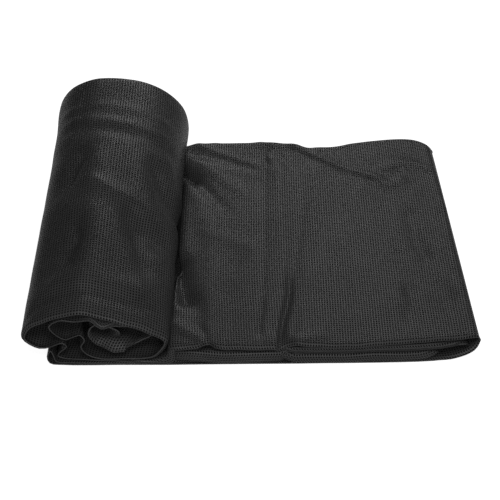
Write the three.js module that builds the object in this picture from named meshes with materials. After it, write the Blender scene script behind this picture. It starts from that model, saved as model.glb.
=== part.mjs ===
// A folded black mesh net: one length of knitted netting, lying as a flat stack of plies on the
// right and rolled over into a loose, flattened roll on the left. Millimetres, +Z up.
//
// The whole net is one sheet. Its section across the stack and the roll is one line, which runs
// back and forth through the plies, round the roll and into the roll's core. The tables below
// give that line a row for each run or fold, at the front edge and at the back edge. The sheet
// is swept from one edge to the other and given its thickness.

import * as THREE from 'three';

// Driving dimensions
const THICKNESS = 2.0;
const FLOOR_PLY = THICKNESS / 2;
const DEPTH_STATIONS = [0, 0.02, 0.05, 0.1, 0.17, 0.25, 0.33, 0.42, 0.51, 0.6, 0.69, 0.77, 0.85, 0.93, 1];
const ROLL_EASE = 1.7;
const STACK_EASE = 1.0;

const COLUMNS = ['fold', 'frontX', 'frontY', 'frontZ', 'backX', 'backY', 'backZ', 'steps'];

// The inside of the flat stack, from its hidden end to the ply that lies on the floor
const STACK = [
    ['inner end', -48, 1, 17.9, -50, 286, 18.5, 1],
    ['ply 2, left', 22, 0, 17.4, 10, 286, 18.3, 1],
    ['ply 2, shift', 41, -3, 18.4, 40, 284, 18.7, 1],
    ['ply 2, right', 176, 0, 18.4, 163, 290, 18.7, 1],
    ['upper fold, top', 196, 3, 18.4, 183, 290, 18.6, 2],
    ['upper fold, tip', 201.5, 3, 16.6, 188, 290, 16.5, 2],
    ['upper fold, under', 196, 4.5, 14.5, 183, 290, 14.4, 1],
    ['ply 3, right', 176, 3.4, 13.9, 163, 290, 14.2, 1],
    ['ply 3, shift', 45, 1.5, 14.2, 45, 284, 14.4, 1],
    ['ply 3, left of shift', 28, -4, 13.4, 20, 284, 14.0, 1],
    ['left fold, top', -66, -5, 13.7, -58, 286, 14.1, 2],
    ['left fold, tip', -71, -4, 11.6, -63, 286, 12.0, 2],
    ['left fold, under', -66, -1, 9.5, -58, 286, 9.9, 1],
    ['ply 4, left', 20, -1.5, 9.0, 20, 284, 9.6, 1],
    ['ply 4, shift', 42, -4, 10.0, 42, 284, 9.8, 1],
    ['ply 4, right', 156, 0, 9.8, 146, 288, 9.8, 1],
    ['lower fold, top', 170, 1, 9.7, 160, 288, 9.7, 2],
    ['lower fold, tip', 175, 1, 7.5, 165, 288, 7.5, 2],
    ['lower fold, under', 170, 3.5, 5.4, 160, 288, 5.4, 1],
    ['ply 5, right', 156, 3, 5.3, 146, 288, 5.3, 1],
    ['ply 5, shift', 44, -2, 5.6, 44, 284, 5.3, 1],
    ['ply 5, left', -50, -6, 4.7, -50, 287, 5.0, 1],
    ['ply 5, under roll right', -84, -8, 3.5, -84, 290, 3.5, 1],
    ['ply 5, under roll', -130, -8, 3.4, -130, 290, 3.4, 1],
    ['ply 5, under roll left', -168, -8, 3.4, -157, 290, 3.5, 1],
    ['pinched fold, inner foot', -179.6, -7.6, 4.2, -172, 290, 4.6, 1],
    ['pinched fold, inner side', -181.4, -6, 9.5, -176, 290, 5.6, 2],
    ['pinched fold, top', -184.2, -3.5, 14.2, -182, 290, 5.4, 2],
    ['pinched fold, outer side', -187.2, -6, 9.5, -185.5, 290, 3.3, 1],
    ['pinched fold, heel', -185.4, -7.6, 2.6, -183, 290, 1.3, 2],
    ['floor ply, left', -176.5, -7.3, FLOOR_PLY, -178, 290, FLOOR_PLY, 1],
    ['floor ply, under roll', -125, -7.3, FLOOR_PLY, -125, 291, FLOOR_PLY, 1],
    ['floor ply, beside roll', -50, -5.6, FLOOR_PLY, -50, 289, FLOOR_PLY, 1],
    ['floor ply, middle', 45, -6, FLOOR_PLY, 45, 286, FLOOR_PLY, 1],
    ['floor ply, right', 138, -5, FLOOR_PLY, 130, 292, FLOOR_PLY, 1],
];

// The fold that wraps the stack's right end, rising from the floor
const WRAP = [
    ['wrap, lifting off', 168, -2.2, 1.9, 158, 292, 1.6, 1],
    ['wrap, underside', 193, 2, 6.0, 183, 292, 4.8, 2],
    ['wrap, rising', 206.5, 5, 11.6, 194, 292, 10.5, 2],
    ['wrap, tip', 212, 8, 18.6, 198.5, 292, 16.6, 3],
];

// The top of the stack, from its right end to where it drops beside the roll
const TOP = [
    ['wrap, over', 209, 6, 23.2, 195.5, 293, 22.4, 1],
    ['top, right', 189, 4, 24.0, 179, 299, 24.2, 3],
    ['top, right of middle', 138, -1, 24.0, 130, 297, 24.3, 3],
    ['top, middle', 92, -4.6, 24.0, 92, 287, 23.8, 2],
    ['valley, right bank', 44, -4, 24.7, 74, 283, 24.2, 1],
    ['valley', 32, -3, 22.6, 62, 283, 23.5, 1],
    ['valley, left bank', 24, -5.5, 24.4, 48, 288, 24.3, 1],
    ['crease, right lip', 16, -6, 24.5, 22, 293, 24.7, 1],
    ['crease', 11.5, -6, 23.4, 17.5, 294, 23.7, 1],
    ['crease, left lip', 6, -6, 24, 11, 294, 24.4, 2],
    ['top, left of crease', -18, -6, 23.7, -16, 294, 24.0, 2],
    ['top, beside roll', -46, -7, 24, -50, 293, 23.9, 1],
    ['shoulder', -71.5, -7, 21.6, -71, 291, 22, 2],
    ['wall', -75.4, -7, 16.6, -76.5, 290, 15.6, 2],
];

// The sheet goes on under the roll and turns back in a hook, which opens out at the back
const HOOK = [
    ['wall, foot', -77.6, -7.5, 10.2, -80, 289, 9.4, 2],
    ['under roll, right', -87, -8, 6.0, -88, 291, 6.2, 1],
    ['under roll, middle', -125, -8, 5.8, -125, 293, 6.0, 1],
    ['under roll, left', -160, -6, 5.8, -158, 295, 7.2, 1],
    ['hook, sole', -172, -5, 6.0, -168, 296, 9.6, 2],
    ['hook, heel', -178.2, -4, 8.4, -176, 296, 13.5, 2],
    ['hook, shin', -173.6, -4, 15.2, -181.5, 296, 18.5, 2],
    ['hook, knee', -168.6, -4, 20.6, -187, 296, 25, 2],
    ['hook, crest', -172.6, -3, 24.4, -191.5, 296, 32, 2],
    ['bulge, underside', -182.5, -3, 19.8, -196, 296, 41, 1],
    ['bulge, heel', -194.5, -3, 16.2, -198.5, 296, 52, 2],
];

// The outer turn of the roll, from the left bulge over the top to the rim at the bottom
const OUTER = [
    ['bulge, left', -208.2, -1, 27, -200, 296, 66, 2],
    ['bulge, shoulder', -202, 1, 41, -195.5, 296, 81, 2],
    ['roll top, left', -188, 0, 52, -184, 296, 95, 2],
    ['roll top, rising', -171, 0, 58.4, -166, 297, 103.4, 2],
    ['roll top, crown', -154, 0, 61.2, -150, 298, 105.2, 2],
    ['roll top, falling', -127, 0, 53.8, -116, 298, 101.4, 2],
    ['roll top, right', -101.5, 0, 45.8, -89, 297, 89, 2],
    ['right shoulder', -81.4, 0, 34, -73, 296, 70, 2],
    ['right side', -77, -3, 24.5, -68.6, 295, 48, 2],
    ['right corner', -80.2, -6, 15.8, -72.5, 294, 28, 2],
];

// The rim of the mouth and the second turn, which rises from it in a crumple and runs over the core
const SECOND = [
    ['rim, right', -90, -8, 9.6, -84, 294, 14.5, 2],
    ['rim, bottom', -112, -8, 8.7, -106, 294, 10.4, 1],
    ['rim, left', -138, -8, 8.8, -140, 294, 10.8, 1],
    ['crumple, foot', -150, -7, 13.4, -166, 294, 18, 2],
    ['crumple, elbow', -155.2, -6, 22.0, -182, 294, 32, 2],
    ['crumple, neck', -151.6, -4, 29.2, -183, 294, 46, 2],
    ['trough, right lip', -156.6, -1, 33, -187.5, 294, 60, 2],
    ['trough, floor', -168.8, -1, 26.6, -187, 294, 72, 2],
    ['trough, left side', -177, -1, 32, -181.5, 294, 83, 2],
    ['trough, top', -183, -1, 43.5, -170, 294, 89.5, 2],
    ['pillar, crown', -173.5, -1, 51.6, -158, 294, 94.8, 2],
    ['over core, left', -158, -1, 50.4, -140, 294, 97.2, 2],
    ['over core', -145, -1, 52.6, -120, 294, 93.4, 2],
    ['fold, hanging', -134.5, -2, 47.2, -110.5, 294, 89.6, 2],
    ['over core, right', -123, -1, 46.8, -101, 294, 84, 2],
    ['hollow, roof', -103.5, 3, 38.4, -86, 294, 68, 2],
    ['hollow, corner', -91.6, 5, 26.6, -79.6, 294, 48, 2],
    ['hollow, fold', -99, 3, 23.6, -84, 294, 31, 2],
    ['hollow, floor', -110.5, 1, 20.8, -96, 294, 21.5, 2],
];

// The core: a small skewed scroll that ends in the roll's dark middle
const CORE = [
    ['tongue, tip', -118, -2, 17, -114, 293, 18.2, 2],
    ['tongue, middle', -127, -3, 20.4, -144, 293, 19.5, 2],
    ['tongue, left', -136.6, -3, 24, -165, 293, 31, 2],
    ['scroll, left', -144.6, -2.5, 32.4, -177, 293, 52, 2],
    ['scroll, top left', -145.4, 0, 39.5, -170, 293, 74, 2],
    ['scroll, top', -138.8, 2, 43.2, -152, 293, 87, 2],
    ['scroll, top right', -131.5, 0, 40.4, -122, 293, 84, 2],
    ['scroll, right', -127.6, 1, 34, -97, 293, 66, 2],
    ['scroll, inner right', -130, 6, 30.2, -98, 293, 44, 2],
    ['scroll, inner floor', -136, 18, 29.2, -120, 293, 30, 2],
    ['scroll, inner left', -140.6, 15, 32.8, -156, 293, 34, 2],
    ['scroll, inner top left', -140.8, 13, 36.6, -168, 293, 56, 2],
    ['scroll, inner top', -136.6, 13, 38.8, -148, 293, 72, 2],
    ['scroll, inner top right', -132.6, 15, 36.4, -122, 293, 68, 2],
    ['core, right', -132.4, 17, 33.6, -116, 293, 50, 2],
    ['core, floor', -135, 17, 32.6, -134, 293, 43, 2],
    ['core end', -137.2, 17, 34.2, -148, 293, 52, 1],
];

// Soft ridges, with a height above 0, and troughs, each along a line seen from above
const RELIEF_COLUMNS = ['form', 'fromX', 'fromY', 'toX', 'toY', 'halfWidth', 'height'];
const ROLL_RELIEF = [
    ['upper ripple', -185, 244, -90, 238, 7, 1.4],
    ['lower ripple', -187, 228, -88, 221, 7, 1.6],
    ['dark band', -186, 211, -88, 203, 9, -2.0],
    ['long ridge', -150, 184, -146, 60, 15, 1.8],
    ['left slope', -182, 204, -184, 52, 14, -2.2],
    ['upper left valley', -168, 188, -178, 160, 10, -3.0],
    ['left valley', -161, 98, -169, 66, 11, -3.6],
    ['diagonal ridge', -156, 156, -108, 138, 9, 2.2],
    ['right valley, upper', -92, 182, -77, 148, 11, -4.2],
    ['right valley, lower', -110, 122, -92, 104, 13, -4.6],
    ['broad valley', -108, 98, -98, 66, 14, -3.0],
    ['collar, ridge', -176, 36, -104, 36, 9, 1.2],
    ['collar, crease', -188, 21, -101, 20, 7, -2.2],
];
const STACK_RELIEF = [
    ['back left ridge', -66, 288, 20, 252, 7, 1.6],
    ['dark pocket', -69, 258, -62, 236, 9, -6.5],
    ['pocket, upper bank', -54, 256, -11, 217, 8, 1.5],
    ['long diagonal ridge', 36, 287, 154, 233, 8, 1.8],
    ['long diagonal trough', 40, 275, 150, 222, 8, -0.9],
    ['back arc', 154, 234, 200, 254, 6, 1.2],
    ['back swell', 145, 262, 165, 256, 14, 1.2],
    ['hollow by the roll, front', -67, 102, -61, 58, 10, -6.0],
    ['hollow by the roll, tail', -62, 60, -46, 34, 10, -2.4],
    ['right hollow', 150, 112, 178, 52, 16, -1.4],
];

const lerp = THREE.MathUtils.lerp;

function namedRows(columns, table, extra = {}) {
    const named = (values) => Object.fromEntries(columns.map((name, i) => [name, values[i]]));
    return table.map((values) => ({ ...named(values), ...extra }));
}

// The up side of the top ply is the inside of the outer turn, so their relief has opposite signs
const FOLDS = [
    ...namedRows(COLUMNS, STACK, { ease: STACK_EASE }),
    ...namedRows(COLUMNS, WRAP, { ease: STACK_EASE }),
    ...namedRows(COLUMNS, TOP, {
        ease: STACK_EASE,
        relief: namedRows(RELIEF_COLUMNS, STACK_RELIEF),
        outward: -1,
    }),
    ...namedRows(COLUMNS, HOOK, { ease: ROLL_EASE }),
    ...namedRows(COLUMNS, OUTER, {
        ease: ROLL_EASE,
        relief: namedRows(RELIEF_COLUMNS, ROLL_RELIEF),
        outward: 1,
    }),
    ...namedRows(COLUMNS, SECOND, { ease: ROLL_EASE }),
    ...namedRows(COLUMNS, CORE, { ease: ROLL_EASE }),
];

// How far the ridges and troughs raise a point of the sheet
function reliefHeight(forms, { x, y }) {
    const spot = new THREE.Vector3(x, y, 0);
    let height = 0;
    for (const form of forms) {
        const from = new THREE.Vector3(form.fromX, form.fromY, 0);
        const to = new THREE.Vector3(form.toX, form.toY, 0);
        const nearest = new THREE.Line3(from, to).closestPointToPoint(spot, true, new THREE.Vector3());
        height += form.height * Math.exp(-((nearest.distanceTo(spot) / form.halfWidth) ** 2));
    }
    return height;
}

// Where a fold lies at a depth, from 0 at the front edge to 1 at the back edge
function foldPoint(row, depth) {
    const settled = 1 - (1 - depth) ** row.ease;
    return new THREE.Vector3(
        lerp(row.frontX, row.backX, settled),
        lerp(row.frontY, row.backY, depth),
        lerp(row.frontZ, row.backZ, settled),
    );
}

// The section's middle line at a depth, with each point's direction across the sheet
function sectionLine(depth) {
    const curve = new THREE.CatmullRomCurve3(FOLDS.map((row) => foldPoint(row, depth)));
    const line = [];
    FOLDS.forEach((row, i) => {
        const steps = i === FOLDS.length - 1 ? 1 : row.steps;
        for (let step = 0; step < steps; step += 1) {
            const along = (i + step / steps) / (FOLDS.length - 1);
            const tangent = curve.getTangent(along);
            const across = new THREE.Vector3(-tangent.z, 0, tangent.x).normalize();
            const point = curve.getPoint(along);
            if (row.relief) {
                point.addScaledVector(across, row.outward * reliefHeight(row.relief, point));
            }
            line.push({ point, across });
        }
    });
    return line;
}

// The closed sheet: both faces of every section, then the four edges
function sheetGeometry() {
    const sections = DEPTH_STATIONS.map(sectionLine);
    const count = sections[0].length;
    const positions = [];
    for (const side of [1, -1]) {
        for (const section of sections) {
            for (const { point, across } of section) {
                const p = point.clone().addScaledVector(across, (side * THICKNESS) / 2);
                positions.push(p.x, p.y, p.z);
            }
        }
    }
    const perSide = count * sections.length;
    const vertex = (side, station, i) => side * perSide + station * count + i;
    const indices = [];
    const quad = (a, b, c, d) => indices.push(a, b, c, a, c, d);
    const last = sections.length - 1;
    for (let i = 0; i < count - 1; i += 1) {
        for (let s = 0; s < last; s += 1) {
            quad(vertex(0, s, i), vertex(0, s, i + 1), vertex(0, s + 1, i + 1), vertex(0, s + 1, i));
            quad(vertex(1, s, i), vertex(1, s + 1, i), vertex(1, s + 1, i + 1), vertex(1, s, i + 1));
        }
        quad(vertex(0, 0, i), vertex(1, 0, i), vertex(1, 0, i + 1), vertex(0, 0, i + 1));
        quad(vertex(0, last, i), vertex(0, last, i + 1), vertex(1, last, i + 1), vertex(1, last, i));
    }
    for (let s = 0; s < last; s += 1) {
        quad(vertex(0, s, 0), vertex(0, s + 1, 0), vertex(1, s + 1, 0), vertex(1, s, 0));
        const end = count - 1;
        quad(vertex(0, s, end), vertex(1, s, end), vertex(1, s + 1, end), vertex(0, s + 1, end));
    }
    const geometry = new THREE.BufferGeometry();
    geometry.setAttribute('position', new THREE.Float32BufferAttribute(positions, 3));
    geometry.setIndex(indices);
    geometry.computeVertexNormals();
    return geometry;
}

// Moves the net so that it stands on the origin, at the middle of its own box
function centreOnFloor(geometry) {
    geometry.computeBoundingBox();
    const centre = geometry.boundingBox.getCenter(new THREE.Vector3());
    geometry.translate(-centre.x, -centre.y, -geometry.boundingBox.min.z);
}

function netMaterial() {
    return new THREE.MeshStandardMaterial({ color: 0x2f2f2f, roughness: 0.9, metalness: 0 });
}

const geometry = sheetGeometry();
centreOnFloor(geometry);
const net = new THREE.Mesh(geometry, netMaterial());
net.name = 'net';

const group = new THREE.Group();
group.add(net);

export default group;
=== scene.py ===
"""Dresses the folded net: one thin sheet of black knitted mesh, laid in folds close to the solid's."""

import math

import bpy
import numpy as np
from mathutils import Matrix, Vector, noise


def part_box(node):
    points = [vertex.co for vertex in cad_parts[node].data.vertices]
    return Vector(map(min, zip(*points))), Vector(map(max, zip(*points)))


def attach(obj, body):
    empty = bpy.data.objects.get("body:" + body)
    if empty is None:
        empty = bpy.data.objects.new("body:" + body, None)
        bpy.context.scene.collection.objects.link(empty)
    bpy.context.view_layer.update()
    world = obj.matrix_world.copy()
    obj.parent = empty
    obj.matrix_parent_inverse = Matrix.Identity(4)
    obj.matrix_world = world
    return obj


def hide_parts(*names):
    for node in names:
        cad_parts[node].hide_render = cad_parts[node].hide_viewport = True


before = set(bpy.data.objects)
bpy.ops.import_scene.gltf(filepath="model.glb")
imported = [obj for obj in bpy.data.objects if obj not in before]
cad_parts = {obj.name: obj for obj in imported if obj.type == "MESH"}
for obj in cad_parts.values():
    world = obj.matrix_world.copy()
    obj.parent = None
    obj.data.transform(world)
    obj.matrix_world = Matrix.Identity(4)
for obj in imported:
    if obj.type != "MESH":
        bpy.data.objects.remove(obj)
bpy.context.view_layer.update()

MM = 0.001

# The cloth, in millimetres, with the height of the lowest ply's middle
THICKNESS = 1.4
MESH_PITCH = 2.5
FLOOR_PLY = 1.0

# How fast the section changes from its front form to its back form. At 1 the change is even.
ROLL_EASE = 1.7
STACK_EASE = 1.0

# A repeat of the mesh is this much longer along the path on the roll than on the stack
ROLL_STRETCH = 1.1

# Stations from the front to the back, and on each lip, where a power below 1 crowds them
EVEN_STATIONS = 72
LIP_STATIONS = 5
LIP_CROWDING = 0.8

# The back lip's size against the front one's, and the share of the depth that makes room for a lip
BACK_LIP_SHARE = 0.8
LIP_EASE = 0.12

# The strip round the sheet's edges stands out by this share of its thickness
EDGE_BULGE = 0.45

# Unevenness of the surface in millimetres, and of a lip as a share, with each noise's size and place
SURFACE_WAVE_HEIGHT = 0.35
SURFACE_WAVE_SIZE = 26
SURFACE_WAVE_PLACE = 3.0
LIP_WAVE_SHARE = 0.22
LIP_WAVE_SIZE = 17
LIP_WAVE_PLACE = 8.0

# A row for each run or fold of the section, at the front edge and at the back edge. Lip is how far
# the edge comes forward, and curl how far it bends to the side that the section's across points to.
# The curls and the relief are not held clear of the next ply, so the sheet crosses itself in
# places.
COLUMNS = ("fold", "front_x", "front_y", "front_z", "back_x", "back_y", "back_z", "lip", "curl")

# The inside of the flat stack, from its hidden end to the ply that lies on the floor
STACK = [
    ("inner end", -48, 1, 17.9, -50, 286, 18.5, 0.5, 0),
    ("ply 2, left", 22, 0, 17.4, 10, 286, 18.3, 0.5, 0),
    ("ply 2, shift", 41, -4, 17.8, 40, 284, 18.7, 2.2, -5.2),
    ("ply 2, right", 176, 0.5, 18.2, 163, 290, 18.7, 2.2, -4.6),
    ("upper fold, top", 196, 3, 18.4, 183, 290, 18.6, 1.0, -1.0),
    ("upper fold, tip", 201.5, 3, 16.6, 188, 290, 16.5, 0.5, 0),
    ("upper fold, under", 196, 4.5, 14.5, 183, 290, 14.4, 0.5, 0),
    ("ply 3, right", 176, 3.4, 13.9, 163, 290, 14.2, 0.5, 0),
    ("ply 3, shift", 45, 1.5, 14.2, 45, 284, 14.4, 0.5, 0),
    ("ply 3, left of shift", 28, -5, 13.1, 20, 284, 14.0, 3, 10.4),
    ("left fold, top", -71, -5.5, 13.8, -58, 286, 14.1, 3, 11.4),
    ("left fold, tip", -75, -4, 10.8, -63, 286, 12.0, 3, 0),
    ("left fold, under", -66, -1, 9.5, -58, 286, 9.9, 0.5, 0),
    ("ply 4, left", 20, -1.5, 9.0, 20, 284, 9.6, 0.5, 0),
    ("ply 4, shift", 42, -6, 10.8, 42, 284, 9.8, 2.4, -9.2),
    ("ply 4, right", 156, -3, 10.2, 146, 288, 9.8, 2.4, -8.4),
    ("lower fold, top", 170, -1, 9.7, 160, 288, 9.7, 2, -5),
    ("lower fold, tip", 175, 1, 7.5, 165, 288, 7.5, 0, 0),
    ("lower fold, under", 170, 3.5, 5.4, 160, 288, 5.4, 0.5, 0),
    ("ply 5, right", 156, 3, 5.3, 146, 288, 5.3, 0.5, 0),
    ("ply 5, shift", 44, -2, 5.6, 44, 284, 5.3, 0.5, 0),
    ("ply 5, left", -50, -5, 4.7, -50, 287, 5.0, 2.5, 2.8),
    ("ply 5, under roll right", -84, -7, 3.5, -84, 290, 3.5, 2.5, 2.2),
    ("ply 5, under roll", -130, -8, 3.4, -130, 290, 3.4, 1.5, 1),
    ("ply 5, under roll left", -168, -8, 3.4, -157, 290, 3.5, 0.8, 0.4),
    ("pinched fold, inner foot", -179.6, -7.6, 4.2, -172, 290, 4.6, 0.5, 0),
    ("pinched fold, inner side", -181.4, -6, 9.5, -176, 290, 5.6, 0.5, 0),
    ("pinched fold, top", -184.2, -3.5, 14.2, -182, 290, 5.4, 0.5, 0),
    ("pinched fold, outer side", -187.2, -6, 9.5, -185.5, 290, 3.3, 0.5, 0),
    ("pinched fold, heel", -185.4, -7.6, 2.6, -183, 290, 1.3, 0.5, 0),
    ("floor ply, left", -176.5, -8.4, FLOOR_PLY, -178, 290, FLOOR_PLY, 1.2, 1),
    ("floor ply, under roll", -125, -8.4, FLOOR_PLY, -125, 291, FLOOR_PLY, 1.2, 0.6),
    ("floor ply, beside roll", -50, -7.6, FLOOR_PLY, -50, 289, FLOOR_PLY, 0.8, 0),
    ("floor ply, middle", 45, -6.4, FLOOR_PLY, 45, 286, FLOOR_PLY, 0.8, 0),
    ("floor ply, right", 138, -4.8, FLOOR_PLY, 130, 292, FLOOR_PLY, 0.8, 0),
]

# The fold that wraps the stack's right end, rising from the floor
WRAP = [
    ("wrap, lifting off", 171, -3, 2.4, 158, 292, 1.6, 3, -1.4),
    ("wrap, underside", 194, -0.5, 5.4, 183, 292, 4.8, 3.2, -3.2),
    ("wrap, rising", 206.5, 4, 11.2, 194, 290, 10.5, 3, -3.4),
    ("wrap, tip", 212, 7, 18.6, 197.5, 287, 16.6, 2.5, -1.5),
]

# The top of the stack, from its right end to where it drops beside the roll
TOP = [
    ("wrap, over", 210, 6, 24.2, 194, 288, 23.8, 2, 1.5),
    ("top, right", 189, 4, 24.0, 179, 299, 24.2, 2.0, 2.4),
    ("top, right of middle", 138, -1, 24.0, 130, 297, 24.3, 2.5, 2.6),
    ("top, middle", 92, -5.4, 24.0, 92, 287, 23.8, 2.5, 2.6),
    ("valley, right bank", 44, -5, 24.7, 74, 286, 24.2, 2.5, 2.6),
    ("valley", 32, -3, 22.6, 62, 286.5, 23.5, 3, 4),
    ("valley, left bank", 24, -7, 24.4, 48, 290, 24.3, 4, 3.2),
    ("crease, right lip", 16, -7.2, 24.1, 22, 293, 24.7, 4, 3),
    ("crease", 11.5, -7.2, 23.7, 17.5, 294, 23.7, 3.5, 3),
    ("crease, left lip", 6, -7.2, 23.9, 11, 294, 24.4, 4, 2.8),
    ("top, left of crease", -18, -7.4, 23.7, -16, 294, 24.0, 4.5, 2.6),
    ("top, right of notch", -31, -6.6, 24, -30, 293.5, 24, 3, 2),
    ("top, notch", -38.5, -3, 24.6, -38, 293.5, 24, 2, 0.8),
    ("top, beside roll", -49, -6.8, 24, -52, 293, 23.9, 4, 2.2),
    ("shoulder", -73.4, -8, 23.4, -71, 291, 22, 5, 4.5),
    ("wall", -75.4, -7, 16.6, -76.5, 290, 15.6, 4, 6),
]

# The sheet goes on under the roll and turns back in a hook, which opens out at the back
HOOK = [
    ("wall, foot", -77.6, -7.5, 10.2, -80, 289, 9.4, 3, 8.5),
    ("under roll, right", -87, -8, 6.0, -88, 291, 6.2, 2.5, 4.5),
    ("under roll, middle", -125, -8, 5.8, -125, 293, 6.0, 1.0, 0),
    ("under roll, left", -160, -6, 5.8, -158, 295, 7.2, 0.5, 0),
    ("hook, sole", -172, -5, 6.0, -168, 296, 9.6, 0.5, 0),
    ("hook, heel", -178.2, -4, 8.4, -176, 296, 13.5, 0.5, 0),
    ("hook, shin", -173.6, -4, 15.2, -181.5, 296, 18.5, 0.5, 0),
    ("hook, knee", -168.6, -4, 20.6, -187, 296, 25, 0.5, 0),
    ("hook, crest", -172.6, -3, 24.4, -191.5, 296, 32, 0.5, 0),
    ("bulge, underside", -182.5, -3, 19.8, -196, 296, 41, 1.0, 0),
    ("bulge, heel", -194.5, -3, 16.2, -198.5, 296, 52, 2.5, -2.5),
]

# The outer turn of the roll, from the left bulge over the top to the rim at the bottom
OUTER = [
    ("bulge, left", -209.6, -1, 27, -200, 296, 66, 3.5, -3.2),
    ("bulge, shoulder", -204.8, 1, 41, -195.5, 296, 81, 3.5, -3.4),
    ("roll top, left", -189, 0, 52, -184, 296, 95, 3.5, -4.2),
    ("roll top, rising", -171, 0, 58.4, -166, 297, 103.4, 3.5, -3.4),
    ("roll top, crown", -154, 0, 61.2, -150, 298, 105.2, 3.5, -3),
    ("roll top, falling", -127, 0, 53.8, -116, 298, 101.4, 4, -3.4),
    ("roll top, right", -101.5, 0, 45.8, -89, 297, 89, 5, -5.5),
    ("right shoulder", -80.2, 0, 34, -73, 296, 70, 6, -6),
    ("right side", -74.8, -3, 25, -68.6, 295, 48, 6, -4),
    ("right corner", -80.2, -6, 15.8, -72.5, 294, 28, 4, -3.5),
]

# The rim of the mouth and the second turn, which rises from it in a crumple and runs over the core
SECOND = [
    ("rim, right", -90, -8, 9.6, -84, 294, 14.5, 2.5, -2.2),
    ("rim, bottom", -112, -8, 8.7, -106, 294, 10.4, 0.8, 0),
    ("rim, left", -138, -8, 8.8, -140, 294, 10.8, 0.8, 0),
    ("crumple, foot", -150, -7, 13.4, -166, 294, 18, 0.5, 0),
    ("crumple, elbow", -155.2, -6, 22.0, -182, 294, 32, 0.5, 0),
    ("crumple, neck", -151.6, -4, 29.2, -183, 294, 46, 0.5, 0),
    ("trough, right lip", -156.6, -1, 33, -187.5, 294, 60, 0.5, 0),
    ("trough, floor", -168.8, -1, 26.6, -187, 294, 72, 0.5, 0),
    ("trough, left side", -177, -1, 32, -181.5, 294, 83, 0.5, 0),
    ("trough, top", -183, -1, 43.5, -170, 294, 89.5, 0.5, 0),
    ("pillar, crown", -173.5, -1, 51.6, -158, 294, 94.8, 0.5, 0),
    ("over core, left", -158, -1, 50.4, -140, 294, 97.2, 0.5, 0),
    ("over core", -145, -1, 53.4, -120, 294, 93.4, 3, -2),
    ("fold, hanging", -134.5, -4, 48.6, -110.5, 294, 89.6, 4, -3.6),
    ("over core, right", -123, -1, 46.8, -101, 294, 84, 3, -2),
    ("hollow, roof", -103.5, 3, 38.4, -86, 294, 68, 0.5, 0),
    ("hollow, corner", -91.6, 5, 26.6, -79.6, 294, 48, 1.5, 0.6),
    ("hollow, fold", -99, 3, 23.6, -84, 294, 31, 1.5, 0.6),
    ("hollow, floor", -106, 1, 20.8, -96, 294, 21.5, 2, 0.8),
]

# The core: a small skewed scroll that ends in the roll's dark middle
CORE = [
    ("tongue, tip", -112, -6.5, 25, -114, 293, 18.2, 13, 9.5),
    ("tongue, middle", -124, -8, 27.2, -144, 293, 19.5, 14, 10.5),
    ("tongue, left", -136.6, -5, 28.6, -165, 293, 31, 11, 8),
    ("scroll, left", -144.6, -2.5, 32.4, -177, 293, 52, 6, 2.5),
    ("scroll, top left", -145.4, 0, 39.5, -170, 293, 74, 3, 1),
    ("scroll, top", -138.8, 2, 43.2, -152, 293, 87, 5, 1),
    ("scroll, top right", -131.5, 0, 40.4, -122, 293, 84, 12, 4),
    ("scroll, right", -127.6, 1, 34, -97, 293, 66, 16, 8),
    ("scroll, inner right", -130, 6, 30.2, -98, 293, 44, 12, 3.5),
    ("scroll, inner floor", -136, 18, 29.2, -120, 293, 30, 0.5, 0),
    ("scroll, inner left", -140.6, 15, 32.8, -156, 293, 34, 0.5, 0),
    ("scroll, inner top left", -140.8, 13, 36.6, -168, 293, 56, 0.5, 0),
    ("scroll, inner top", -136.6, 13, 38.8, -148, 293, 72, 0.5, 0),
    ("scroll, inner top right", -132.6, 15, 36.4, -122, 293, 68, 0.5, 0),
    ("core, right", -132.4, 17, 33.6, -116, 293, 50, 0.5, 0),
    ("core, floor", -135, 17, 32.6, -134, 293, 43, 0.5, 0),
    ("core end", -137.2, 17, 34.2, -148, 293, 52, 0.5, 0),
]

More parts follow.
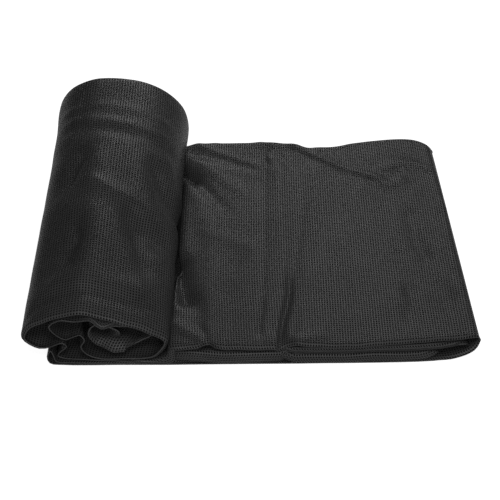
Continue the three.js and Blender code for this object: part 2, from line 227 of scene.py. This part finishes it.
# Soft ridges, with a height above 0, and troughs, each along a line of x, y points seen from above,
# with the height at the line's start and at its end
RELIEF_COLUMNS = ("form", "line", "half_width", "height", "end_height")
ROLL_RELIEF = [
    ("back end swell", ((-192, 286), (-135, 298), (-76, 288)), 22, 2.4, 2.4),
    (
        "upper ripple",
        ((-190, 256), (-175, 255), (-154, 254), (-128, 253), (-103, 250), (-88, 247)),
        4.6, 0.9, 1.2,
    ),
    (
        "between the ripples",
        ((-180, 245), (-153, 244), (-128, 240), (-102, 238), (-89, 235)),
        3.6, -0.4, -0.3,
    ),
    ("lower ripple", ((-179, 238), (-152, 232), (-127, 229), (-102, 228), (-90, 225)), 5, 1.4, 1.4),
    (
        "dark band",
        ((-184, 227), (-164, 220), (-141, 218), (-116, 215), (-96, 214), (-84, 212)),
        7, -1.4, -1.3,
    ),
    ("long ridge", ((-150, 180), (-146, 56)), 15, 1.8, 1.8),
    ("left slope", ((-182, 200), (-184, 50)), 14, -2.2, -2.2),
    ("upper left valley", ((-166, 188), (-171, 172), (-177, 154)), 9, -3.4, -3.4),
    ("upper left crease", ((-164, 182), (-169, 171), (-175, 158)), 4, -1.2, -1.2),
    ("left bank", ((-184, 130), (-171, 115), (-153, 114)), 8, 1.2, 1.2),
    ("left valley", ((-163, 96), (-161, 80), (-170, 62)), 10, -3.6, -3.6),
    ("left crease", ((-164, 94), (-161, 80), (-168, 72)), 4, -1.0, -1.0),
    ("left lower bank", ((-184, 62), (-175, 48), (-180, 34)), 6, 1.0, 1.0),
    ("diagonal ridge", ((-157, 148), (-140, 142), (-123, 134), (-106, 127)), 9, 1.8, 1.8),
    ("diagonal crest", ((-154, 150), (-140, 143), (-123, 135), (-108, 129)), 4, 1.0, 1.0),
    ("right valley, upper", ((-92, 178), (-85, 157), (-77, 140)), 10, -4.2, -4.2),
    ("right crease", ((-98, 188), (-92, 172), (-84, 154)), 4.5, -1.2, -1.2),
    ("right ridge", ((-84, 196), (-76, 180), (-71, 166)), 5, 1.0, 1.0),
    ("right valley, lower", ((-112, 118), (-100, 104), (-88, 94)), 13, -5.4, -5.4),
    ("broad valley", ((-108, 94), (-98, 62)), 14, -4.0, -3.4),
    ("broad crease", ((-118, 110), (-110, 96), (-104, 80), (-100, 62)), 6, -0.8, -0.8),
    ("right dotted ridge", ((-97, 126), (-90, 118), (-84, 112)), 6, 0.6, 0.6),
    ("collar, ridge", ((-176, 36), (-104, 36)), 9, 1.2, 1.2),
    ("collar, crease", ((-188, 20), (-150, 23), (-101, 19)), 7, -2.2, -2.2),
    ("rim crease, left", ((-204, 9), (-199, 13), (-190, 20)), 2.6, -0.9, -0.9),
]
STACK_RELIEF = [
    ("back left pleat", ((-65, 294), (-49, 285), (-27, 273), (-7.5, 261), (13, 252.5)), 3.6, 1.7, 1.0),
    ("back left trough", ((-63, 275), (-48, 271), (-23, 260), (0, 249)), 5, -1.6, -0.8),
    ("back left bank", ((-60, 260), (-46, 257), (-22, 247), (0, 239)), 7, 1.6, 0.6),
    ("dark pocket", ((-72, 247), (-65.5, 240), (-58, 232)), 6.2, -9.0, -6.0),
    ("pocket, tail", ((-58, 231), (-46, 216), (-34, 196), (-20, 178)), 6, -2.6, -0.6),
    ("pocket, upper bank", ((-54, 254), (-34, 238), (-11, 214)), 8, 2.0, 1.0),
    ("pocket, lower bank", ((-62, 214), (-52, 196), (-50, 170)), 8, 1.2, 1.2),
    (
        "long diagonal pleat",
        ((43.5, 290), (57, 281), (75, 268), (96, 252.5), (116.5, 242), (137, 234)),
        3.4, 1.7, 1.4,
    ),
    ("long diagonal trough", ((46, 281), (75, 259), (96, 244), (116, 234), (134, 227)), 4, -0.9, -0.7),
    ("bright bank", ((128, 233), (145, 222), (159, 228)), 7, 1.5, 2.0),
    ("back edge swell", ((14, 294), (58, 297), (104, 297)), 11, 2.0, 2.2),
    ("right edge swell", ((206, 214), (205, 186)), 9, 1.6, 1.6),
    ("back arc", ((143, 248), (162, 259), (178, 256), (190, 247)), 4.5, 2.1, 1.4),
    ("back swell", ((145, 262), (165, 256)), 14, 1.2, 1.2),
    ("crease, light band", ((31, 244), (31, 150), (27, 60)), 6, 1.3, 0.2),
    ("crease head, ridge", ((21, 268), (28, 257), (33, 246)), 3.4, 1.2, 0.3),
    ("crease head, trough", ((31, 272), (39, 258), (44, 246)), 3.4, -0.9, -0.2),
    ("hollow by the roll, front", ((-70, 106), (-66, 78), (-61, 56)), 9, -8.0, -7.0),
    ("hollow by the roll, tail", ((-62, 60), (-46, 34)), 10, -2.4, -0.8),
    ("slit by the roll", ((-73, 230), (-74, 96)), 4.5, -3.6, -3.6),
    ("right hollow", ((150, 112), (178, 52)), 16, -1.4, -1.4),
    ("right dark fold, upper", ((163, 176), (165, 141), (173, 112)), 8, -1.4, -2.0),
    ("right dark fold, lower", ((152, 68), (154, 46), (146, 28)), 6, -1.8, -1.2),
    ("right end fold", ((183, 74), (187, 59), (186, 40)), 7, -0.7, -0.7),
    ("right end ridge", ((199, 194), (198, 152), (199, 102)), 6, 0.7, 0.7),
    ("left swell", ((-46, 150), (-25, 140), (0, 128)), 9, 0.7, 0.7),
    ("front notch", ((-46, 16), (-41, 4), (-38, -7)), 4, -1.4, -1.4),
    ("front swell, left", ((-75, 24), (-62, 14), (-44, 4)), 5.5, 2.0, 1.4),
    ("front swell, right", ((44, 0), (57, 4), (72, 8)), 5, 1.8, 0.8),
    ("short crease", ((12, 50), (10, 32), (8, 10)), 2.8, -0.8, -1.8),
    (
        "curved valley",
        ((38.5, 94), (38, 66), (35.5, 46), (32, 32), (29.5, 15), (28, -3)),
        2.9, -0.5, -4.0,
    ),
    ("curved valley, bank", ((43, 88), (42.5, 60), (40.2, 40), (37, 26), (34.5, 8)), 3.6, 0.4, 1.3),
    ("curved valley, left slope", ((30, 88), (29, 66), (27, 46), (23, 32), (20, 15)), 7, -0.2, -0.9),
]


def named_rows(columns, table, **extra):
    return [{**dict(zip(columns, values)), **extra} for values in table]


# Each part of the section has its finest step along the path, and the fewest steps to a row
FOLDS = (
    named_rows(COLUMNS, STACK, ease=STACK_EASE, part="stack", step=26, least=2)
    + named_rows(COLUMNS, WRAP, ease=STACK_EASE, part="stack", step=3, least=3)
    + named_rows(COLUMNS, TOP, ease=STACK_EASE, part="top", step=2.5, least=2)
    + named_rows(COLUMNS, HOOK, ease=ROLL_EASE, part="hook", step=4.5, least=2)
    + named_rows(COLUMNS, OUTER, ease=ROLL_EASE, part="roll", step=2.7, least=3)
    + named_rows(COLUMNS, SECOND, ease=ROLL_EASE, part="inside", step=3.6, least=2)
    + named_rows(COLUMNS, CORE, ease=ROLL_EASE, part="inside", step=3.8, least=2)
)
# The sign is the side of the section's across that faces outward, so that a ridge stands out
RELIEF = {
    "top": (-1, named_rows(RELIEF_COLUMNS, STACK_RELIEF)),
    "roll": (1, named_rows(RELIEF_COLUMNS, ROLL_RELIEF)),
}


def column(name):
    return np.array([row[name] for row in FOLDS], float)


def fold_points(depths):
    """Where each row lies at each depth, 0 at the front edge and 1 at the back: rows x depths x 3."""
    depths = np.asarray(depths, float)[None, :]
    settled = 1 - (1 - depths) ** column("ease")[:, None]
    x = column("front_x")[:, None] * (1 - settled) + column("back_x")[:, None] * settled
    y = column("front_y")[:, None] * (1 - depths) + column("back_y")[:, None] * depths
    z = column("front_z")[:, None] * (1 - settled) + column("back_z")[:, None] * settled
    return np.stack([x, y, z], axis=2)


def path_samples():
    """The row before each point of the path, and how far on to the next row the point is."""
    middle = fold_points([0.5])[:, 0]
    samples = []
    for i, row in enumerate(FOLDS[:-1]):
        chord = np.linalg.norm(middle[i + 1] - middle[i])
        steps = max(row["least"], math.ceil(chord / row["step"]))
        samples += [(i, k / steps) for k in range(steps)]
    return samples + [(len(FOLDS) - 2, 1.0)]


def spline(points, samples):
    """A centripetal spline through the rows, at the samples: its points and its tangents."""
    first = 2 * points[0] - points[1]
    last = 2 * points[-1] - points[-2]
    rows = np.concatenate([first[None], points, last[None]])
    index = np.array([i for i, _ in samples])
    t = np.array([share for _, share in samples])[:, None, None]
    p0, p1, p2, p3 = (rows[index + k] for k in range(4))
    pairs = ((p0, p1), (p1, p2), (p2, p3))
    gap = [np.linalg.norm(b - a, axis=2, keepdims=True) ** 0.5 for a, b in pairs]
    m1 = ((p1 - p0) / gap[0] - (p2 - p0) / (gap[0] + gap[1]) + (p2 - p1) / gap[1]) * gap[1]
    m2 = ((p2 - p1) / gap[1] - (p3 - p1) / (gap[1] + gap[2]) + (p3 - p2) / gap[2]) * gap[1]
    c2 = -3 * p1 + 3 * p2 - 2 * m1 - m2
    c3 = 2 * p1 - 2 * p2 + m1 + m2
    return p1 + m1 * t + c2 * t**2 + c3 * t**3, m1 + 2 * c2 * t + 3 * c3 * t**2


def unit(vectors):
    return vectors / np.maximum(np.linalg.norm(vectors, axis=-1, keepdims=True), 1e-9)


def place_on_line(x, y, line):
    """Each x, y point's distance to a broken line, and how far along the line its nearest spot is."""
    spots = np.stack([x, y], axis=-1)
    nearest = np.full(x.shape, 1e9)
    passed = np.zeros(x.shape)
    before = 0.0
    for start, end in zip(line[:-1], line[1:]):
        start, along = np.array(start, float), np.subtract(end, start).astype(float)
        share = np.clip(((spots - start) @ along) / (along @ along), 0, 1)
        away = np.linalg.norm(spots - start - share[..., None] * along, axis=-1)
        length = math.hypot(*along)
        passed = np.where(away < nearest, before + share * length, passed)
        nearest = np.minimum(nearest, away)
        before += length
    return nearest, passed / before


def relief_height(forms, x, y):
    height = np.zeros_like(x)
    for form in forms:
        away, share = place_on_line(x, y, form["line"])
        peak = form["height"] * (1 - share) + form["end_height"] * share
        height += peak * np.exp(-((away / form["half_width"]) ** 2))
    return height


def waviness(points, size, place):
    """Smooth noise between about -1 and 1 at each point, the same on every run."""
    flat = points.reshape(-1, 3) / size
    values = [noise.noise(Vector((p[0] + place, p[1], p[2]))) for p in flat]
    return np.array(values).reshape(points.shape[:-1])


def lip_shares():
    """How far along the lip each of its stations is, denser towards the sheet's edge."""
    return [(k / LIP_STATIONS) ** LIP_CROWDING for k in range(1, LIP_STATIONS + 1)]


def sheet_grid():
    """The sheet's middle surface: path points x stations x 3, and each path point's part."""
    samples = path_samples()
    depths = np.linspace(0, 1, EVEN_STATIONS)
    points, tangents = spline(fold_points(depths), samples)
    level = np.zeros(tangents.shape[:2])
    across = unit(np.stack([-tangents[..., 2], level, tangents[..., 0]], axis=2))
    parts = np.array([FOLDS[i]["part"] for i, _ in samples])
    lip, curl = (along_rows(name, samples) for name in ("lip", "curl"))
    points[..., 1] += lip[:, None] * np.clip(1 - depths / LIP_EASE, 0, 1) ** 2
    points[..., 1] -= BACK_LIP_SHARE * lip[:, None] * np.clip(1 - (1 - depths) / LIP_EASE, 0, 1) ** 2
    for part, (outward, forms) in RELIEF.items():
        here = parts == part
        x, y = points[here, :, 0], points[here, :, 1]
        waves = waviness(points[here], SURFACE_WAVE_SIZE, SURFACE_WAVE_PLACE)
        height = relief_height(forms, x, y) + SURFACE_WAVE_HEIGHT * waves
        points[here] += across[here] * (outward * height)[..., None]
    return with_lips(points, across, lip, curl), parts


def along_rows(name, samples):
    """A column's value at each path point, eased from row to row."""
    row = np.array([i for i, _ in samples])
    share = np.array([s for _, s in samples])
    ease = share**2 * (3 - 2 * share)
    return column(name)[row] * (1 - ease) + column(name)[row + 1] * ease


def with_lips(points, across, lip, curl):
    """Adds the stations of the front lip before the first one and of the back lip after the last."""
    front, back = [], []
    for station, forward, size, out in ((0, -1.0, 1.0, front), (-1, 1.0, BACK_LIP_SHARE, back)):
        edge, side = points[:, station], across[:, station]
        uneven = 1 + LIP_WAVE_SHARE * waviness(edge, LIP_WAVE_SIZE, LIP_WAVE_PLACE + forward)
        for t in lip_shares():
            angle = t * math.pi / 2
            reach = forward * size * lip * uneven * math.sin(angle)
            bend = size * curl * uneven * (1 - math.cos(angle))
            point = edge + side * bend[:, None]
            point[:, 1] += reach
            point[:, 2] = np.maximum(point[:, 2], FLOOR_PLY)
            out.append(point)
    return np.stack(front[::-1] + list(np.moveaxis(points, 1, 0)) + back, axis=1)


def weave_coordinates(grid, parts):
    """Each grid point's place on the flat cloth, in mesh repeats across and along."""
    steps = np.linalg.norm(np.diff(grid, axis=0), axis=2)
    along = np.concatenate([np.zeros((1, grid.shape[1])), np.cumsum(steps, axis=0)])
    names = [row["fold"] for row in FOLDS]
    rows = np.array([i for i, _ in path_samples()])
    flat_at = int(np.argmax(rows == names.index("top, middle")))
    crown_at = int(np.argmax(rows == names.index("roll top, crown")))
    flat_u = along - along[flat_at]
    roll_u = (along - along[crown_at]) / ROLL_STRETCH
    hook = np.where(parts == "hook")[0]
    share = np.clip((np.arange(len(parts)) - hook[0]) / (hook[-1] - hook[0]), 0, 1)[:, None]
    lead = along[crown_at].mean() - along[flat_at].mean()
    u = flat_u * (1 - share) + (roll_u + lead) * share
    runs = np.linalg.norm(np.diff(grid, axis=1), axis=2)
    v = np.concatenate([np.zeros((grid.shape[0], 1)), np.cumsum(runs, axis=1)], axis=1)
    return np.stack([u / MESH_PITCH, v / MESH_PITCH], axis=2)


def surface_normals(grid):
    return unit(np.cross(np.gradient(grid, axis=0), np.gradient(grid, axis=1)))


def both_sides(up, low):
    """The faces of the upper and the lower side, from the numbers of their points."""
    faces = []
    for i in range(up.shape[0] - 1):
        for s in range(up.shape[1] - 1):
            faces.append((up[i, s], up[i + 1, s], up[i + 1, s + 1], up[i, s + 1]))
            faces.append((low[i, s], low[i, s + 1], low[i + 1, s + 1], low[i + 1, s]))
    return faces


def rim_places(count, stations):
    """The grid places round the sheet's four edges, in order."""
    rim = [(i, 0) for i in range(count)]
    rim += [(count - 1, s) for s in range(1, stations)]
    rim += [(i, stations - 1) for i in range(count - 2, -1, -1)]
    rim += [(0, s) for s in range(stations - 2, 0, -1)]
    return rim


def sheet_mesh(name):
    """The closed sheet: both sides, and a ridged strip round the four edges."""
    grid, parts = sheet_grid()
    weave = weave_coordinates(grid, parts)
    normals = surface_normals(grid)
    upper = grid + normals * THICKNESS / 2
    lower = grid - normals * THICKNESS / 2
    count, stations = grid.shape[:2]
    points = list(np.concatenate([upper.reshape(-1, 3), lower.reshape(-1, 3)]))
    uvs = list(np.concatenate([weave.reshape(-1, 2), weave.reshape(-1, 2)]))
    up = np.arange(count * stations).reshape(count, stations)
    low = up + count * stations
    faces = both_sides(up, low)
    rim = rim_places(count, stations)
    edge = []
    for i, s in rim:
        inner = (min(max(i, 1), count - 2), min(max(s, 1), stations - 2))
        outward = unit(grid[i, s] - grid[inner])
        edge.append(len(points))
        points.append(grid[i, s] + outward * THICKNESS * EDGE_BULGE)
        uvs.append(weave[i, s])
    for k, (a, b) in enumerate(zip(rim, rim[1:] + rim[:1])):
        e, f = edge[k], edge[(k + 1) % len(edge)]
        faces.append((up[a], e, f, up[b]))
        faces.append((low[a], low[b], f, e))
    return make_mesh(name, np.array(points), faces, np.array(uvs))


def make_mesh(name, points, faces, uvs):
    mesh = bpy.data.meshes.new(name)
    mesh.from_pydata(points.tolist(), [], [[int(v) for v in face] for face in faces])
    layer = mesh.uv_layers.new(name="weave")
    corners = np.empty(len(mesh.loops), dtype=int)
    mesh.loops.foreach_get("vertex_index", corners)
    layer.data.foreach_set("uv", uvs[corners].astype(np.float32).ravel())
    mesh.polygons.foreach_set("use_smooth", np.ones(len(mesh.polygons), dtype=bool))
    mesh.update()
    piece = bpy.data.objects.new(name, mesh)
    bpy.context.collection.objects.link(piece)
    return piece


def settle_on_solid(piece):
    """Moves the sheet from the tables' place to the solid's, and from millimetres to metres."""
    low, high = (np.array(corner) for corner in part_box("net"))
    swept = (spline(fold_points([0.0, 1.0]), path_samples())[0][..., :2] * MM).reshape(-1, 2)
    middle = (swept.min(axis=0) + swept.max(axis=0)) / 2
    shift = np.array([*((low + high)[:2] / 2 - middle), 0.0])
    for vertex in piece.data.vertices:
        vertex.co = Vector(np.array(vertex.co) * MM + shift)
    return shift


# The materials

# The weave's wave goes over from hole to thread between these values. Bars are lower than wales.
HOLE_TO_THREAD = (-0.15, 0.5)
BAR_HEIGHT = 0.75
STITCHES_IN_REPEAT = 2
STITCH_HEIGHT = 0.07

# Each pair is the value in a hole and on a thread. The grey in a hole is painted shade: the plies
# below, seen through the hole, lying in shadow.
THREAD_GREY_AND_HOLE_SHADE = (0.001, 0.014)
NET_ROUGHNESS = (1.0, 0.44)

# The roughness goes over between these heights of the weave
ROUGHNESS_BETWEEN = (0.2, 0.9)

# Two noises make the grey uneven: their scale, detail, and least and greatest share
NOISE_BETWEEN = (0.3, 0.7)
CLOUDS = (22.0, 3.0, (0.86, 1.14))
FUZZ = (900.0, 2.0, (0.92, 1.08))

# The bump's distance is in metres
BUMP_STRENGTH = 0.6
BUMP_DISTANCE = 0.0005
MATTE_SPECULAR = 0.1

WHITE = (1, 1, 1, 1)
FLOOR_GREY = 0.2
FLOOR_GLOW = 0.88
FLOOR_ROUGHNESS = 0.9


def nodes_of(material):
    material.use_nodes = True
    tree = material.node_tree
    tree.nodes.clear()
    return tree


def feed(tree, source, socket):
    """Sets the socket to a number, or links it to another node's output."""
    if isinstance(source, (int, float)):
        socket.default_value = source
    else:
        tree.links.new(source, socket)


def add_output(tree, shader):
    output = tree.nodes.new("ShaderNodeOutputMaterial")
    tree.links.new(shader.outputs[0], output.inputs[0])


def calculate(tree, operation, *sources):
    node = tree.nodes.new("ShaderNodeMath")
    node.operation = operation
    for source, socket in zip(sources, node.inputs):
        feed(tree, source, socket)
    return node.outputs[0]


def smooth_range(tree, source, between, to=(0.0, 1.0)):
    """Carries the source over smoothly from the first pair of values to the second."""
    node = tree.nodes.new("ShaderNodeMapRange")
    node.interpolation_type = "SMOOTHSTEP"
    for number, socket in zip((source, *between, *to), node.inputs):
        feed(tree, number, socket)
    return node.outputs[0]


def noise_share(tree, vector, scale, detail, share):
    """Noise in object space, as a factor between the least and the greatest share."""
    node = tree.nodes.new("ShaderNodeTexNoise")
    node.inputs["Scale"].default_value = scale
    node.inputs["Detail"].default_value = detail
    tree.links.new(vector, node.inputs["Vector"])
    return smooth_range(tree, node.outputs["Fac"], NOISE_BETWEEN, share)


def wave(tree, kind, source, turns):
    """The sine or cosine of the source, with this many turns to each whole number."""
    return calculate(tree, kind, calculate(tree, "MULTIPLY", source, 2 * math.pi * turns))


def grey(tree, brightness):
    node = tree.nodes.new("ShaderNodeCombineColor")
    for socket in node.inputs[:3]:
        tree.links.new(brightness, socket)
    return node.outputs[0]


def netting_material():
    """Knitted mesh: wales along the depth, lower bars across, and a hole in each repeat, painted near
    black as the shade of the plies below.
    """
    material = bpy.data.materials.new("black_knitted_mesh")
    tree = nodes_of(material)
    weave = tree.nodes.new("ShaderNodeUVMap")
    weave.uv_map = "weave"
    split = tree.nodes.new("ShaderNodeSeparateXYZ")
    tree.links.new(weave.outputs[0], split.inputs[0])
    wale = smooth_range(tree, wave(tree, "COSINE", split.outputs[0], 1), HOLE_TO_THREAD)
    bar = smooth_range(tree, wave(tree, "COSINE", split.outputs[1], 1), HOLE_TO_THREAD)
    thread = calculate(tree, "MAXIMUM", wale, calculate(tree, "MULTIPLY", bar, BAR_HEIGHT))

    place = tree.nodes.new("ShaderNodeTexCoord").outputs["Object"]
    cloudy = noise_share(tree, place, *CLOUDS)
    fuzz = noise_share(tree, place, *FUZZ)
    uneven = calculate(tree, "MULTIPLY", cloudy, fuzz)
    # The holes get painted shade, near black, and the threads keep their own dark grey.
    colour = calculate(tree, "MULTIPLY", smooth_range(tree, thread, (0.0, 1.0), THREAD_GREY_AND_HOLE_SHADE), uneven)

    stitch = wave(tree, "SINE", split.outputs[1], STITCHES_IN_REPEAT)
    knit = calculate(tree, "MULTIPLY", calculate(tree, "MULTIPLY", stitch, STITCH_HEIGHT), wale)
    bump = tree.nodes.new("ShaderNodeBump")
    bump.inputs["Strength"].default_value = BUMP_STRENGTH
    bump.inputs["Distance"].default_value = BUMP_DISTANCE
    tree.links.new(calculate(tree, "ADD", thread, knit), bump.inputs["Height"])

    shader = tree.nodes.new("ShaderNodeBsdfPrincipled")
    roughness = smooth_range(tree, thread, ROUGHNESS_BETWEEN, NET_ROUGHNESS)
    tree.links.new(roughness, shader.inputs["Roughness"])
    shader.inputs["Specular IOR Level"].default_value = MATTE_SPECULAR
    tree.links.new(grey(tree, colour), shader.inputs["Base Color"])
    tree.links.new(bump.outputs[0], shader.inputs["Normal"])
    add_output(tree, shader)
    return material


def floor_material():
    material = bpy.data.materials.new("pale_floor")
    tree = nodes_of(material)
    shader = tree.nodes.new("ShaderNodeBsdfPrincipled")
    shader.inputs["Base Color"].default_value = (FLOOR_GREY, FLOOR_GREY, FLOOR_GREY, 1)
    shader.inputs["Emission Color"].default_value = WHITE
    shader.inputs["Emission Strength"].default_value = FLOOR_GLOW
    shader.inputs["Roughness"].default_value = FLOOR_ROUGHNESS
    shader.inputs["Specular IOR Level"].default_value = MATTE_SPECULAR
    add_output(tree, shader)
    return material


# The stage: camera, floor and light

# Metres, unless the name says otherwise. The camera's distance in front is from the tables' zero,
# which is near the stack's front edge.
CAMERA_HEIGHT = 0.879
CAMERA_IN_FRONT = 0.794
CAMERA_PITCH_DEG = 43.0
CAMERA_LENS_MM = 91.08
CAMERA_SENSOR_MM = 36.0
CAMERA_REACH = 50
FLOOR_SIZE = 12.0
ORIGIN = (0.0, 0.0, 0.0)

# Round lights, all aimed at the origin: name, place, width and watts
LIGHTS = [
    ("softbox_behind", (0.0, 1.5, 0.8), 0.6, 11.5),
    ("softbox_above", (0.45, 1.05, 1.3), 0.7, 15),
    ("softbox_front", (0.0, -0.75, 1.7), 0.7, 19),
    ("softbox_low", (0.1, -1.6, 0.75), 0.9, 32),
    ("softbox_right", (1.3, 0.2, 0.6), 0.6, 4.5),
]
WORLD_STRENGTH = 0.02
PIXEL_FILTER_WIDTH = 1.5


def look_at(thing, target):
    direction = Vector(target) - thing.location
    thing.rotation_euler = direction.to_track_quat("-Z", "Y").to_euler()


def add_camera(shift):
    data = bpy.data.cameras.new("camera")
    data.lens = CAMERA_LENS_MM
    data.sensor_width = CAMERA_SENSOR_MM
    data.clip_end = CAMERA_REACH
    camera = bpy.data.objects.new("camera", data)
    bpy.context.collection.objects.link(camera)
    camera.location = (shift[0], shift[1] - CAMERA_IN_FRONT, CAMERA_HEIGHT)
    camera.rotation_euler = (math.radians(90 - CAMERA_PITCH_DEG), 0, 0)
    bpy.context.scene.camera = camera


def add_floor():
    half = FLOOR_SIZE / 2
    mesh = bpy.data.meshes.new("floor")
    corners = [(-half, -half, 0), (half, -half, 0), (half, half, 0), (-half, half, 0)]
    mesh.from_pydata(corners, [], [(0, 1, 2, 3)])
    floor = bpy.data.objects.new("floor", mesh)
    bpy.context.collection.objects.link(floor)
    mesh.materials.append(floor_material())


def add_light(name, location, size, power):
    data = bpy.data.lights.new(name, "AREA")
    data.shape = "DISK"
    data.size = size
    data.energy = power
    light = bpy.data.objects.new(name, data)
    bpy.context.collection.objects.link(light)
    light.location = location
    look_at(light, ORIGIN)


def add_lights():
    for name, location, size, power in LIGHTS:
        add_light(name, location, size, power)
    world = bpy.data.worlds.new("studio")
    bpy.context.scene.world = world
    world.use_nodes = True
    background = world.node_tree.nodes["Background"]
    background.inputs[0].default_value = WHITE
    background.inputs[1].default_value = WORLD_STRENGTH


def set_view():
    """Plain tones, and no denoiser, because it blurs the weave."""
    bpy.context.scene.view_settings.view_transform = "Standard"
    bpy.context.scene.cycles.filter_width = PIXEL_FILTER_WIDTH
    bpy.context.scene.cycles.use_denoising = False


def add_net():
    net = sheet_mesh("folded_net")
    shift = settle_on_solid(net)
    net.data.materials.append(netting_material())
    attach(net, "root")
    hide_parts("net")
    return shift


shift = add_net()
add_camera(shift)
add_floor()
add_lights()
set_view()
